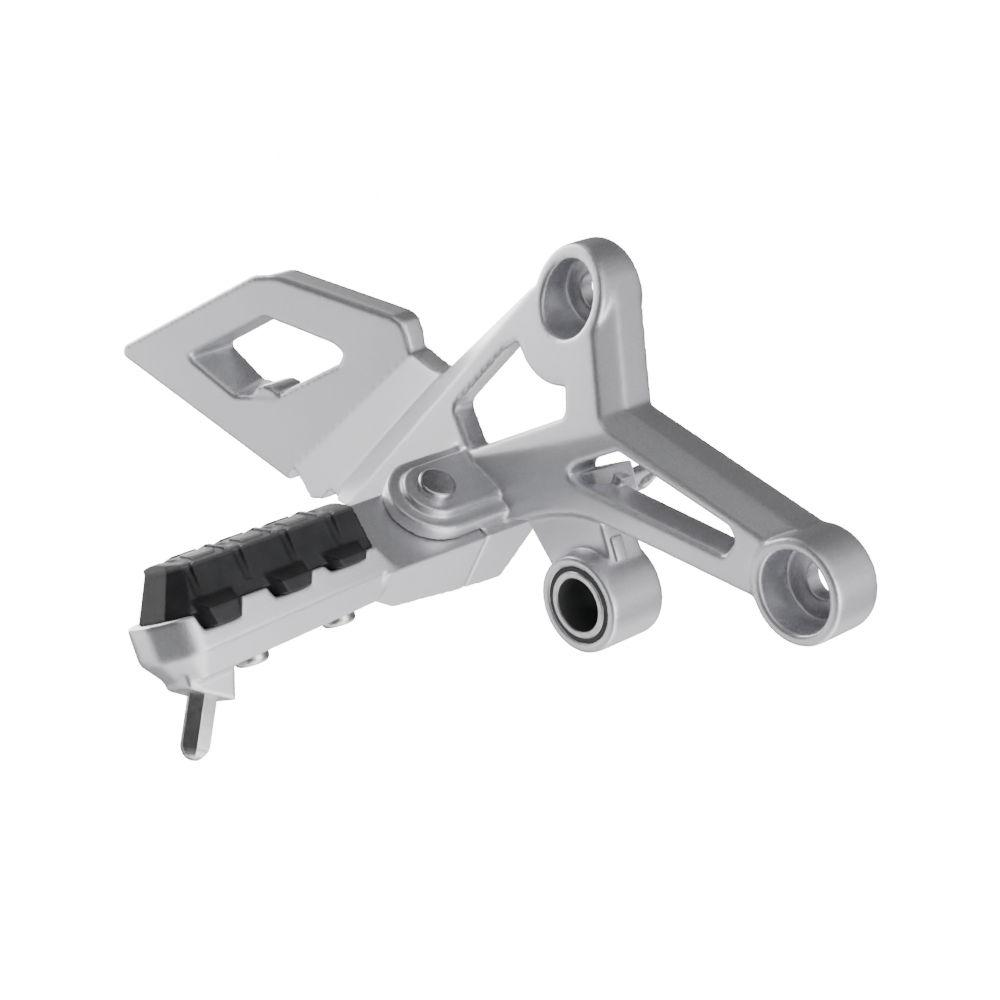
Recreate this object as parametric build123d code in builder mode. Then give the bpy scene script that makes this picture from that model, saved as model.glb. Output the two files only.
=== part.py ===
from build123d import *
from math import atan2, cos, degrees, pi, radians, sin, tan
import os

# Right-hand rider footpeg on its cast bracket, in millimetres.
# X runs forward, Y runs inward to the motorcycle and Z runs up.
# The origin is on the upper bolt's axis, in the plane of the boss face that meets the frame.

# Mounting bosses
upper_boss_radius = 16.0
upper_face_y = -17.0
upper_counterbore_radius = 11.3
upper_counterbore_floor_y = -5.0
front_boss_x = 72.0
front_boss_z = -94.0
front_boss_radius = 15.9
front_face_y = -32.2
front_back_y = -14.2
front_counterbore_radius = 12.2
front_counterbore_depth = 12.4
bolt_hole_radius = 5.5
lug_x = 2.9
lug_y = -9.0
lug_z = -57.7
lug_root = 14.0
lug_radius = 5.0
lug_thickness = 3.6
lug_hole_radius = 2.8

# Pedal pivot boss
pivot_x = -11.2
pivot_z = -88.9
pivot_radius = 15.4
pivot_face_y = -36.8
pivot_back_y = -14.8
sleeve_outer_radius = 10.6
sleeve_bore_radius = 8.35
seal_outer_radius = 12.0
seal_depth = 2.6
seal_recess = 0.5
web_front_y = -29.6
web_back_y = -16.0

# Inclined upper plate and flat lower plate
upper_tilt = 20.0
crease_z = -39.6
lower_face_y = -31.5
lower_thickness = 12.8
upper_thickness = 9.0
upper_arm_depth = 17.0
arm_wall_x = 16.0
arm_bevel_width = 6.3
rail_bevel_width = 5.3
arm_bevel_depth = 5.4
arm_lean = 0.1
plate_end_x = 8.8
rail_bevel_depth = 6.5
strut_bevel_depth = 5.0
window_arc_radius = 25.0
corner_radius = 2.5
guard_edge_radius = 1.6
bump_radius = 6.0
bump_x = -147.0
bump_z = -6.6
bevel_edge_radius = 1.2
ear_edge_radius = 0.9
window_edge_radius = 1.0
counterbore_edge_radius = 0.6
window_sketch_y = 5.0
rim_edge_radius = 0.7

# Hinge
hinge_x = -42.2
hinge_y = -51.5
hinge_z = -43.9
hinge_tilt = 39.2
pin_radius = 4.0
pin_play = 0.05
pin_bore_length = 120.0
pin_head_radius = 6.0
pin_head_height = 2.8
ear_radius = 14.7
ear_thickness = 5.5
pad_radius = 10.4
pad_height = 2.5
ear_root_v = 24.0
hinge_gap = 0.35
tongue_thickness = 18.6
tongue_front_u = 18.0
tongue_heel_radius = 10.2
wall_v = 10.5
wall_back_v = 33.0
tongue_end_v = -30.5
lower_ear_radius = 11.0
lower_ear_thickness = 5.0
skirt_inner_u = 11.6
skirt_bottom_p = -32.2
washer_radius = 7.5
washer_thickness = 1.2
clip_thickness = 1.0
clip_radius = 6.2
groove_radius = 3.2
pin_end = 2.4

# Return spring
spring_radius = 6.3
spring_wire = 0.75
spring_turns = 4.0
spring_pitch = 1.9
spring_pocket_radius = 8.2
spring_pocket_depth = 9.6
spring_leg = 2.6
spring_lift = 1.1
spring_overlap = 0.4
leg_shift = 0.12

# Peg carrier
peg_centre_x = -52.0
peg_half_width = 14.2
peg_tip_y = -159.4
peg_tip_radius = 8.0
peg_root_y = -77.0
rim_z = -54.0
side_bottom_z = -63.5
belly_tilt = 2.4
belly_depth = 8.2
belly_inset = 6.0
wall_thickness = 3.0
pocket_floor_z = -66.0
feeler_inset = 13.0
feeler_z = -78.5
feeler_tilt = 29.6
feeler_across = 8.0
feeler_length = 18.5
feeler_shank_radius = 3.0
feeler_shank_length = 10.0

# Rubber pad
pad_fit = 0.15
pad_side_z = -41.0
pad_crown_z = -38.6
pad_base_half = 12.6
pad_top_half = 10.0
pad_root_y = -82.6
pad_tip_inset = 4.0
pad_tip_slope = 6.0
pad_root_slope = 1.2
groove_shares = (0.143, 0.383, 0.618, 0.855)
lug_shares = (0.19, 0.547, 0.838)
screw_shares = (0.394, 0.853)
groove_width = 2.6
groove_depth = 1.3
frame_width = 11.0
frame_line = 0.8
frame_margin = 3.0
frame_depth = 0.9
lug_reach = 17.0
lug_top_z = -49.4
insert_width = 14.0
insert_length_share = 0.8
insert_middle_share = 0.596
screw_tip = 2.0
seat_cut = 0.8
insert_thickness = 3.0
insert_z = -61.0
screw_radius = 2.95
screw_play = 0.35
screw_washer_radius = 6.4
screw_washer_thickness = 1.0
screw_head_radius = 5.3
screw_head_height = 3.0
screw_socket = 4.0

os.makedirs("parts", exist_ok=True)


def outward(y):
    """Sketch plane at a lateral position, facing away from the motorcycle."""
    return Plane.XZ.offset(-y)


def through(a, b, c):
    """Plane through three points."""
    start = Vector(*a)
    along = Vector(*b) - start
    across = Vector(*c) - start
    return Plane(origin=start, x_dir=along, z_dir=along.cross(across))


def edges_in(solid, plane, shortest=0.0):
    """Edges of a solid that lie in a plane and are longer than a length."""
    found = ShapeList()
    for edge in solid.edges():
        places = [plane.to_local_coords(edge @ share) for share in (0, 0.5, 1)]
        if max(abs(place.Z) for place in places) < 0.01 and edge.length > shortest:
            found.append(edge)
    return found


def upper_y(z):
    """Lateral position of the inclined upper face at a height."""
    return upper_face_y + z * tan(radians(upper_tilt))


def on_upper(x, z, depth=0.0):
    """Point at a depth behind the inclined upper face."""
    return (x, upper_y(z) + depth, z)


middle_y = (peg_tip_y + peg_root_y) / 2
feeler_y = peg_tip_y + feeler_inset
pad_tip_y = peg_tip_y + pad_tip_inset
pad_top_tip_y = pad_tip_y + pad_tip_slope
pad_top_root_y = pad_root_y - pad_root_slope
pad_length = pad_root_y - pad_tip_y
groove_ys = [pad_tip_y + share * pad_length for share in groove_shares]
lug_ys = [pad_tip_y + share * pad_length for share in lug_shares]
screw_ys = [pad_tip_y + share * pad_length for share in screw_shares]
insert_length = insert_length_share * pad_length
insert_middle_y = pad_tip_y + insert_middle_share * pad_length


def seat_z(y):
    """Height of a screw's flat seat in the carrier's belly."""
    return side_bottom_z - belly_depth + (y - middle_y) * tan(radians(belly_tilt)) + seat_cut


def pad_outline(half, root, tip, corner):
    """Plan of the pad at one height, with cut corners at the tip."""
    return [
        (peg_centre_x + half, root),
        (peg_centre_x + half, tip + corner),
        (peg_centre_x + half - corner, tip),
        (peg_centre_x - half + corner, tip),
        (peg_centre_x - half, tip + corner),
        (peg_centre_x - half, root),
    ]


upper_face = Plane(
    origin=(0, upper_face_y, 0),
    x_dir=(1, 0, 0),
    z_dir=(0, -cos(radians(upper_tilt)), sin(radians(upper_tilt))),
)
pin_dir = Vector(cos(radians(hinge_tilt)), 0, sin(radians(hinge_tilt)))
ear_dir = Vector(sin(radians(hinge_tilt)), 0, -cos(radians(hinge_tilt)))
hinge_plane = Plane(origin=(hinge_x, hinge_y, hinge_z), x_dir=ear_dir, z_dir=pin_dir)
hinge_side = Plane(origin=(hinge_x, hinge_y, hinge_z), x_dir=(0, 1, 0), z_dir=ear_dir)
hinge_axis = Axis(hinge_plane.origin, pin_dir)
ear_bottom = -(pad_height + ear_thickness)
tongue_top = ear_bottom - hinge_gap
tongue_bottom = tongue_top - tongue_thickness
lower_ear_top = tongue_bottom - hinge_gap
lower_ear_bottom = lower_ear_top - lower_ear_thickness

# Upper boss
with BuildPart() as upper_boss:
    with BuildSketch(outward(0)):
        Circle(upper_boss_radius)
    extrude(amount=32)
    split(bisect_by=upper_face, keep=Keep.BOTTOM)
    fillet(upper_boss.faces().sort_by(Axis.Y)[0].edges(), radius=rim_edge_radius)

# Upper plate with the strut that runs back to the heel guard
strut_wall = [(-16.5, 6.5), (-69.8, -14.4), (-120.9, -39.5)]
strut_inner = [(-16.0, 5.4), (-108.5, -44.2)]
with BuildPart() as upper_plate:
    with BuildSketch(outward(5)):
        with BuildLine():
            Polyline(
                (0, 8),
                strut_wall[0],
                strut_wall[1],
                strut_wall[2],
                (-123.0, -44.5),
                (-109, -47.5),
                (-72, -47.5),
                (-60, crease_z),
                (plate_end_x, crease_z),
                (plate_end_x, 0),
                close=True,
            )
        make_face()
    extrude(amount=60)
    split(bisect_by=upper_face, keep=Keep.BOTTOM)
    split(
        bisect_by=upper_face.offset(-upper_thickness * cos(radians(upper_tilt))),
        keep=Keep.TOP,
    )
    bevel = through(
        on_upper(*strut_inner[0]),
        on_upper(*strut_inner[1]),
        on_upper(*strut_wall[2], strut_bevel_depth),
    )
    split(bisect_by=bevel, keep=Keep.TOP if bevel.z_dir.Z < 0 else Keep.BOTTOM)
    fillet(edges_in(upper_plate, bevel, 40), radius=bevel_edge_radius)

# Deep arm below the upper boss
lower_face = outward(lower_face_y)
with BuildPart() as upper_arm:
    with BuildSketch(outward(0)):
        with BuildLine():
            Polyline(
                (-2.3, -8),
                (-2.3, -46),
                (arm_wall_x + 46 * arm_lean, -46),
                (arm_wall_x, 0),
                (4, 4),
                close=True,
            )
        make_face()
    extrude(amount=60)
    split(bisect_by=upper_face, keep=Keep.BOTTOM)
    split(bisect_by=lower_face, keep=Keep.BOTTOM)
    split(
        bisect_by=upper_face.offset(-upper_arm_depth * cos(radians(upper_tilt))),
        keep=Keep.TOP,
    )
    bevel = through(
        on_upper(arm_wall_x + 12 * arm_lean - arm_bevel_width, -12),
        on_upper(arm_wall_x + 36 * arm_lean - arm_bevel_width, -36),
        on_upper(arm_wall_x + 36 * arm_lean, -36, arm_bevel_depth),
    )
    split(bisect_by=bevel, keep=Keep.BOTTOM if bevel.z_dir.X > 0 else Keep.TOP)
    fillet(edges_in(upper_arm, bevel, 20), radius=bevel_edge_radius)

# Deep rail that runs down to the front boss
rail_slope = -0.783
rail_start = (12.6, -30.0)
rail_end = (82.0, rail_start[1] + rail_slope * (82.0 - rail_start[0]))
rail_normal = Vector(-rail_slope, 0, 1).normalized()
with BuildPart() as front_rail:
    with BuildSketch(outward(front_back_y)):
        with BuildLine():
            Polyline(
                (-2.3, crease_z),
                (2, rail_start[1]),
                rail_start,
                rail_end,
                (front_boss_x, front_boss_z),
                (60, -88),
                (53.6, -74),
                (18.2, -46.3),
                (-2.3, -46.3),
                close=True,
            )
        make_face()
    extrude(amount=front_back_y - lower_face_y)
    split(bisect_by=upper_face, keep=Keep.BOTTOM)
    front_edge = Vector(rail_start[0], lower_face_y, rail_start[1]) - rail_normal * rail_bevel_width
    front_far = Vector(rail_end[0], lower_face_y, rail_end[1]) - rail_normal * rail_bevel_width
    bevel = through(
        front_edge,
        front_far,
        (rail_end[0], lower_face_y + rail_bevel_depth, rail_end[1]),
    )
    split(bisect_by=bevel, keep=Keep.BOTTOM if bevel.z_dir.Z > 0 else Keep.TOP)
    fillet(edges_in(front_rail, bevel, 80), radius=bevel_edge_radius)

# Flat lower plate
with BuildPart() as lower_plate:
    with BuildSketch(outward(lower_face_y + lower_thickness)):
        with BuildLine():
            Polyline(
                (-72, -47.5),
                (-60, crease_z),
                (14, crease_z),
                (60, -74),
                (70, -90),
                (66, -99),
                (55.5, -94),
                (18.7, -74.5),
                (3.8, -67.0),
                (-1.7, -64.2),
                (-9, -62.2),
                (-18.1, -61.2),
                (-34.5, -61.2),
                (-50, -58),
                close=True,
            )
        make_face()
    extrude(amount=lower_thickness)

# Front boss
with BuildPart() as front_boss:
    with BuildSketch(outward(front_back_y)):
        with Locations((front_boss_x, front_boss_z)):
            Circle(front_boss_radius)
    extrude(amount=front_back_y - front_face_y)
    fillet(front_boss.edges().filter_by(GeomType.CIRCLE), radius=rim_edge_radius)

# Pedal pivot boss with its web
with BuildPart() as pivot_boss:
    with BuildSketch(outward(pivot_back_y)):
        with Locations((pivot_x, pivot_z)):
            Circle(pivot_radius)
    extrude(amount=pivot_back_y - pivot_face_y)
    fillet(pivot_boss.edges().filter_by(GeomType.CIRCLE), radius=rim_edge_radius)
    with BuildSketch(outward(web_back_y)):
        with BuildLine():
            Polyline(
                (-32.0, -60),
                (1.1, -60),
                (1.1, -80),
                (pivot_x, pivot_z),
                (-26.0, pivot_z),
                (-26.4, -76.0),
                close=True,
            )
        make_face()
    extrude(amount=web_back_y - web_front_y)

# Hinge housing with the upper ear, its raised pad and the lower ear
with BuildPart() as hinge_housing:
    with BuildSketch(hinge_side.offset(tongue_front_u)):
        with BuildLine():
            Polyline(
                (wall_v, ear_bottom),
                (wall_v, skirt_bottom_p),
                (27.2, skirt_bottom_p - 2.1),
                (wall_back_v, -15.5),
                (wall_back_v, ear_bottom),
                close=True,
            )
        make_face()
    extrude(amount=-(tongue_front_u + tongue_heel_radius + 1.3))
    with BuildSketch(hinge_plane.offset(ear_bottom)):
        Circle(ear_radius)
        with Locations((0, ear_root_v / 2)):
            Rectangle(2 * ear_radius, ear_root_v)
    extrude(amount=ear_thickness)
    ear_top = hinge_housing.faces().sort_by(hinge_axis)[-1]
    fillet(ear_top.edges(), radius=ear_edge_radius)
    with BuildSketch(hinge_plane.offset(-pad_height)):
        Circle(pad_radius)
        with Locations((0, ear_root_v / 2)):
            Rectangle(2 * pad_radius, ear_root_v)
    extrude(amount=pad_height, taper=8)
    pad_top = hinge_housing.faces().sort_by(hinge_axis)[-1]
    fillet(pad_top.edges(), radius=0.5)
    with BuildSketch(hinge_plane.offset(lower_ear_bottom)):
        Circle(lower_ear_radius)
        with Locations((0, wall_v / 2)):
            Rectangle(2 * lower_ear_radius, wall_v + 2)
    extrude(amount=lower_ear_thickness)

# Heel guard facet beside the strut
guard_offset = 5.0
guard_thickness = 9.0
crease_top = on_upper(-82.9, -3.5, guard_offset)
crease_low = on_upper(-149.4, -31.4, guard_offset)
with BuildPart() as guard_facet:
    with BuildSketch(outward(10)):
        with BuildLine():
            Polyline(
                (-62, -14.5),
                (-72, -10.5),
                (crease_top[0], crease_top[2]),
                (crease_low[0], crease_low[2]),
                (-140, -42.5),
                (-132.8, -43.5),
                (-128.3, -41.0),
                (-123.0, -44.5),
                (-112, -44.5),
                close=True,
            )
        make_face()
    extrude(amount=80)
    facet_plane = upper_face.offset(-guard_offset * cos(radians(upper_tilt)))
    split(bisect_by=facet_plane, keep=Keep.BOTTOM)
    split(
        bisect_by=facet_plane.offset(-guard_thickness * cos(radians(upper_tilt))),
        keep=Keep.TOP,
    )

# Heel guard plate, hollow at the back, with its window
guard_dir = Vector(0.2359, -0.9462, -0.2215).normalized()
guard_face = Plane(origin=crease_top, x_dir=Vector(*crease_low) - Vector(*crease_top), z_dir=guard_dir)


def guard_y(x, z):
    """Lateral position of the guard's front face."""
    return crease_top[1] - (guard_dir.X * (x - crease_top[0]) + guard_dir.Z * (z - crease_top[2])) / guard_dir.Y


guard_back = through(
    (-83, guard_y(-83, 5) + guard_thickness, 5),
    (-145, guard_y(-145, -31) + guard_thickness, -31),
    (-169, guard_y(-169, 16) + 19, 16),
)
guard_relief = through(
    (-123, guard_y(-123, 34.5) + 11.4, 34.5),
    (-83, guard_y(-83, 9.7) + 9.5, 9.7),
    (-126.3, guard_y(-123, 34.5) + 17.4, 29.5),
)
guard_outline = [
    (-196.6, 22.9),
    (-194.0, 26.1),
    (-128.0, 35.8),
    (-118.6, 33.5),
    (-82.9, 9.7),
    (-80.9, 6.6),
    (-81.3, 2.3),
    (crease_top[0], crease_top[2]),
    (crease_low[0], crease_low[2]),
    (-154.8, -35.3),
]
guard_window_front = [
    (-169.4, 16.3),
    (-131.3, 21.4),
    (-110.6, 6.2),
    (-108.7, 2.7),
    (-112.5, -0.5),
    (-140.0, -6.5),
    (-158.0, -3.9),
]
guard_window_back = [
    (-167.0, 16.3),
    (-131.3, 21.4),
    (-110.6, 6.2),
    (-108.7, 2.7),
    (-112.5, -0.5),
    (-147.0, -4.0),
    (-158.7, 4.0),
]
with BuildPart() as guard_hollow:
    with BuildSketch(outward(10)):
        with BuildLine():
            Polyline(*guard_outline, close=True)
        make_face()
        offset(amount=-4.5, kind=Kind.INTERSECTION)
        with BuildLine(mode=Mode.PRIVATE) as collar_line:
            Polyline(*guard_window_front, close=True)
        collar = offset(collar_line.line, amount=3.5, kind=Kind.INTERSECTION, mode=Mode.PRIVATE)
        add(make_face(collar.edges(), mode=Mode.PRIVATE), mode=Mode.SUBTRACT)
    extrude(amount=90)
    split(bisect_by=guard_face.offset(-4.0), keep=Keep.BOTTOM)
with BuildPart() as guard_notch:
    with BuildSketch(outward(10)):
        with BuildLine():
            Polyline((-142, 50), (-121.8, 50), (-121.8, 31.5), (-125.5, 28.5), (-142, 28.5), close=True)
        make_face()
    extrude(amount=90)
    split(bisect_by=guard_face.offset(-2.5), keep=Keep.BOTTOM)
with BuildPart() as guard_plate:
    with BuildSketch(outward(10)) as guard_shape:
        with BuildLine():
            Polyline(*guard_outline, close=True)
        make_face()
        tip_corners = guard_shape.vertices().sort_by(Axis.X)[:2]
        fillet(tip_corners, radius=1.4)
        crown_corners = guard_shape.vertices().sort_by(Axis.Y)[-2:]
        fillet(crown_corners, radius=9.0)
    extrude(amount=90)
    split(bisect_by=guard_face, keep=Keep.BOTTOM)
    split(bisect_by=guard_back, keep=Keep.TOP if guard_back.z_dir.Y < 0 else Keep.BOTTOM)
    split(bisect_by=guard_relief, keep=Keep.TOP if guard_relief.z_dir.Y < 0 else Keep.BOTTOM)
    add(guard_hollow.part, mode=Mode.SUBTRACT)
    add(guard_notch.part, mode=Mode.SUBTRACT)
    with BuildSketch(outward(-5)) as window_back:
        with BuildLine():
            Polyline(*guard_window_back, close=True)
        make_face()
        fillet(window_back.vertices(), radius=1.6)
    with BuildSketch(outward(-43)) as window_front:
        with BuildLine():
            Polyline(*guard_window_front, close=True)
        make_face()
        fillet(window_front.vertices(), radius=1.6)
    loft(ruled=True, mode=Mode.SUBTRACT)
    front_edges = [
        edge
        for edge in edges_in(guard_plate, guard_face)
        if max(abs(guard_face.to_local_coords(edge @ share).Y) for share in (0, 0.5, 1)) > 0.05
    ]
    fillet(front_edges, radius=guard_edge_radius)

# Half-round boss on the lower edge of the guard's window
with BuildPart() as guard_bump:
    with BuildSketch(outward(10)):
        with Locations((bump_x, bump_z)):
            Circle(bump_radius)
    extrude(amount=90)
    split(bisect_by=guard_face.offset(-0.4), keep=Keep.BOTTOM)
    split(bisect_by=guard_back, keep=Keep.TOP if guard_back.z_dir.Y < 0 else Keep.BOTTOM)

# One casting joined from its arms, bosses, hinge housing and guard
with BuildPart() as casting:
    add(upper_boss.part)
    add(upper_plate.part)
    add(upper_arm.part)
    add(front_rail.part)
    add(lower_plate.part)
    add(front_boss.part)
    add(pivot_boss.part)
    add(hinge_housing.part)
    add(guard_facet.part)
    add(guard_plate.part)
    add(guard_bump.part)
    # Triangular window beside the upper boss
    with BuildSketch(outward(window_sketch_y)) as window_one:
        with BuildLine():
            Polyline(
                (-29.5, -9.9),
                (-55.2, -23.2),
                (-47.5, -37.0),
                (-2.3, -33.4),
                (-2.3, -20),
                (-20, -8),
                close=True,
            )
        make_face()
        fillet(window_one.vertices(), radius=corner_radius)
        Circle(window_arc_radius, mode=Mode.SUBTRACT)
    extrude(amount=60, mode=Mode.SUBTRACT)
    # Long slot between the two rails of the front arm
    with BuildSketch(outward(window_sketch_y)) as window_two:
        with BuildLine():
            Polyline(
                (-6.5, -50.0),
                (-2.8, -53.2),
                (49.0, -81.2),
                (54.5, -77.5),
                (53.8, -73.2),
                (18.2, -46.3),
                (-0.5, -47.6),
                close=True,
            )
        make_face()
        fillet(window_two.vertices(), radius=1.8)
    extrude(amount=60, mode=Mode.SUBTRACT)
    # Counterbores and bolt holes
    with Locations(Plane.XZ.offset(-upper_counterbore_floor_y)):
        Cylinder(
            upper_counterbore_radius, 40, align=(Align.CENTER, Align.CENTER, Align.MIN), mode=Mode.SUBTRACT
        )
        Cylinder(bolt_hole_radius, 60, mode=Mode.SUBTRACT)
    with Locations(Plane.XZ.offset(-(front_face_y + front_counterbore_depth))):
        with Locations((front_boss_x, front_boss_z)):
            Cylinder(
                front_counterbore_radius,
                40,
                align=(Align.CENTER, Align.CENTER, Align.MIN),
                mode=Mode.SUBTRACT,
            )
            Cylinder(bolt_hole_radius, 60, mode=Mode.SUBTRACT)
    with Locations(outward(pivot_back_y)):
        with Locations((pivot_x, pivot_z)):
            Cylinder(sleeve_outer_radius, 80, mode=Mode.SUBTRACT)
            Cylinder(
                seal_outer_radius, 2 * seal_depth, mode=Mode.SUBTRACT
            )
    with Locations(outward(pivot_face_y)):
        with Locations((pivot_x, pivot_z)):
            Cylinder(seal_outer_radius, 2 * seal_depth, mode=Mode.SUBTRACT)
    # Lug behind the slot, bored across the ear's direction
    with BuildSketch(Plane(origin=(lug_x, 0, lug_z), x_dir=(0, 1, 0), z_dir=ear_dir)):
        with Locations((lug_y, 0)):
            Circle(lug_radius)
        with Locations((lug_y - lug_root / 2, 0)):
            Rectangle(lug_root, 2 * lug_radius)
    extrude(amount=lug_thickness / 2, both=True)
    with Locations(Plane(origin=(lug_x, lug_y, lug_z), x_dir=(0, 1, 0), z_dir=ear_dir)):
        Cylinder(lug_hole_radius, 2 * lug_thickness, mode=Mode.SUBTRACT)
    # Pin holes in both ears and the blind hole for the spring's leg
    with Locations(hinge_plane):
        Cylinder(pin_radius + pin_play, pin_bore_length, mode=Mode.SUBTRACT)
    with Locations(hinge_plane.offset(lower_ear_top)):
        with Locations((spring_radius, 0)):
            Cylinder(spring_wire + 0.4, 2 * (spring_leg + 0.6), mode=Mode.SUBTRACT)
    # Rounded rims of both windows and both counterbores
    for outline, plane in ((window_one, upper_face), (window_two, lower_face)):
        around = outline.sketch.face().outer_wire()
        rim = []
        for edge in edges_in(casting, plane):
            middle = edge @ 0.5
            if around.distance_to(Vertex(middle.X, window_sketch_y, middle.Z)) < 0.05:
                rim.append(edge)
        fillet(rim, radius=window_edge_radius)
    fillet(
        edges_in(casting, upper_face, 60).filter_by(GeomType.ELLIPSE)
        + edges_in(casting, outward(front_face_y)).filter_by(
            lambda edge: abs(edge.length - 2 * pi * front_counterbore_radius) < 0.01
        ),
        radius=counterbore_edge_radius,
    )
casting.part.label = "bracket_casting"
export_step(casting.part, "parts/bracket_casting.step")

# Pedal pivot sleeve
with BuildPart() as pivot_sleeve:
    with BuildSketch(outward(pivot_back_y)):
        with Locations((pivot_x, pivot_z)):
            Circle(sleeve_outer_radius)
            Circle(sleeve_bore_radius, mode=Mode.SUBTRACT)
    extrude(amount=pivot_back_y - pivot_face_y)
    chamfer(pivot_sleeve.edges().filter_by(GeomType.CIRCLE), length=0.4)
pivot_sleeve.part.label = "pivot_sleeve"
export_step(pivot_sleeve.part, "parts/pivot_sleeve.step")

# Seals at both ends of the sleeve
for seal_name, seal_back in (
    ("pivot_seal_outer", pivot_face_y + seal_depth),
    ("pivot_seal_inner", pivot_back_y - seal_recess),
):
    with BuildPart() as pivot_seal:
        with BuildSketch(outward(seal_back)):
            with Locations((pivot_x, pivot_z)):
                Circle(seal_outer_radius)
                Circle(sleeve_outer_radius, mode=Mode.SUBTRACT)
        extrude(amount=seal_depth - seal_recess)
    pivot_seal.part.label = seal_name
    export_step(pivot_seal.part, "parts/" + seal_name + ".step")

# Hinge pin with its domed head and the groove for the clip
groove_top = lower_ear_bottom - washer_thickness
with BuildPart() as hinge_pin:
    with BuildSketch(hinge_plane):
        Circle(pin_head_radius)
    extrude(amount=pin_head_height)
    fillet(hinge_pin.faces().sort_by(hinge_axis)[-1].edges(), radius=1.1)
    with BuildSketch(hinge_plane):
        Circle(pin_radius)
    extrude(amount=groove_top)
    with BuildSketch(hinge_plane.offset(groove_top)):
        Circle(groove_radius)
    extrude(amount=-(clip_thickness + 0.1))
    with BuildSketch(hinge_plane.offset(groove_top - clip_thickness - 0.1)):
        Circle(pin_radius)
    extrude(amount=-pin_end, taper=12)
hinge_pin.part.label = "hinge_pin"
export_step(hinge_pin.part, "parts/hinge_pin.step")

# Washer and open retaining clip under the lower ear
with BuildPart() as pin_washer:
    with BuildSketch(hinge_plane.offset(lower_ear_bottom)):
        Circle(washer_radius)
        Circle(pin_radius + pin_play, mode=Mode.SUBTRACT)
    extrude(amount=-washer_thickness)
pin_washer.part.label = "pin_washer"
export_step(pin_washer.part, "parts/pin_washer.step")

with BuildPart() as pin_clip:
    with BuildSketch(hinge_plane.offset(groove_top)):
        Circle(clip_radius)
        Circle(groove_radius, mode=Mode.SUBTRACT)
        with Locations((clip_radius, 0)):
            Rectangle(2 * clip_radius, 4.4, mode=Mode.SUBTRACT)
    extrude(amount=-clip_thickness)
pin_clip.part.label = "pin_clip"
export_step(pin_clip.part, "parts/pin_clip.step")

# Return spring around the pin, in the hollow of the tongue, drawn upright and then laid along the pin
coil_height = spring_turns * spring_pitch
with BuildPart() as upright_spring:
    with BuildLine() as coil:
        Helix(pitch=spring_pitch, height=coil_height, radius=spring_radius)
    with BuildSketch(Plane(origin=coil.line @ 0, z_dir=coil.line % 0)):
        Circle(spring_wire)
    sweep()
    with BuildSketch(Plane.XY.offset(spring_overlap)):
        with Locations((spring_radius, leg_shift)):
            Circle(spring_wire - 0.01)
    extrude(amount=-(hinge_gap + spring_lift + spring_leg + spring_overlap))
    with BuildSketch(Plane.XY.offset(coil_height - spring_overlap)):
        with Locations((spring_radius, -leg_shift)):
            Circle(spring_wire - 0.01)
    extrude(amount=spring_pocket_depth - spring_lift - coil_height + spring_leg + spring_overlap)
spring_place = hinge_plane.offset(tongue_bottom + spring_lift).location
return_spring = spring_place * upright_spring.part
return_spring.label = "return_spring"
export_step(return_spring, "parts/return_spring.step")

# Peg carrier: a deep tray with bevelled belly, hinge tongue and feeler boss
front_x = peg_centre_x + peg_half_width
rear_x = peg_centre_x - peg_half_width
belly_plane = Plane(
    origin=(peg_centre_x, middle_y, side_bottom_z),
    x_dir=(1, 0, 0),
    z_dir=(0, -sin(radians(belly_tilt)), cos(radians(belly_tilt))),
)
plan_half = (peg_root_y - peg_tip_y) / 2
tray_plan = [
    (peg_half_width, plan_half),
    (peg_half_width, 6 - plan_half),
    (3.0, -plan_half),
    (-5.0, -plan_half),
    (-peg_half_width, 4 - plan_half),
    (-peg_half_width, plan_half),
]
inner_half_width = peg_half_width - wall_thickness
inner_plan = [
    (inner_half_width, pad_root_y - middle_y),
    (inner_half_width, 9.0 - plan_half),
    (3.2, wall_thickness + 1 - plan_half),
    (-4.4, wall_thickness + 1 - plan_half),
    (-inner_half_width, 7.4 - plan_half),
    (-inner_half_width, pad_root_y - middle_y),
]
belly_taper = degrees(atan2(belly_inset, belly_depth))
lug_bottom_zs = (-58.9, -57.5, -56.1)
feeler_dir = Vector(0, -sin(radians(feeler_tilt)), -cos(radians(feeler_tilt)))
feeler_side = Vector(1, 0, 0).cross(feeler_dir)
feeler_plane = Plane(origin=(peg_centre_x, feeler_y, feeler_z), x_dir=(1, 0, 0), z_dir=feeler_dir)
with BuildPart() as tray:
    for height, taper in ((16.0, 0.0), (-belly_depth, belly_taper)):
        with BuildSketch(belly_plane) as plan:
            with BuildLine():
                Polyline(*tray_plan, close=True)
            make_face()
            fillet(plan.vertices().sort_by(Axis.Y)[:4], radius=peg_tip_radius)
        extrude(amount=height, taper=taper)
    split(bisect_by=Plane.XY.offset(rim_z), keep=Keep.BOTTOM)
    root_slope = through(
        (front_x, pad_root_y + 0.2, rim_z),
        (rear_x, pad_root_y + 0.2, rim_z),
        (front_x, peg_root_y, side_bottom_z + 0.6),
    )
    split(bisect_by=root_slope, keep=Keep.BOTTOM if root_slope.z_dir.Y > 0 else Keep.TOP)

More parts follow.
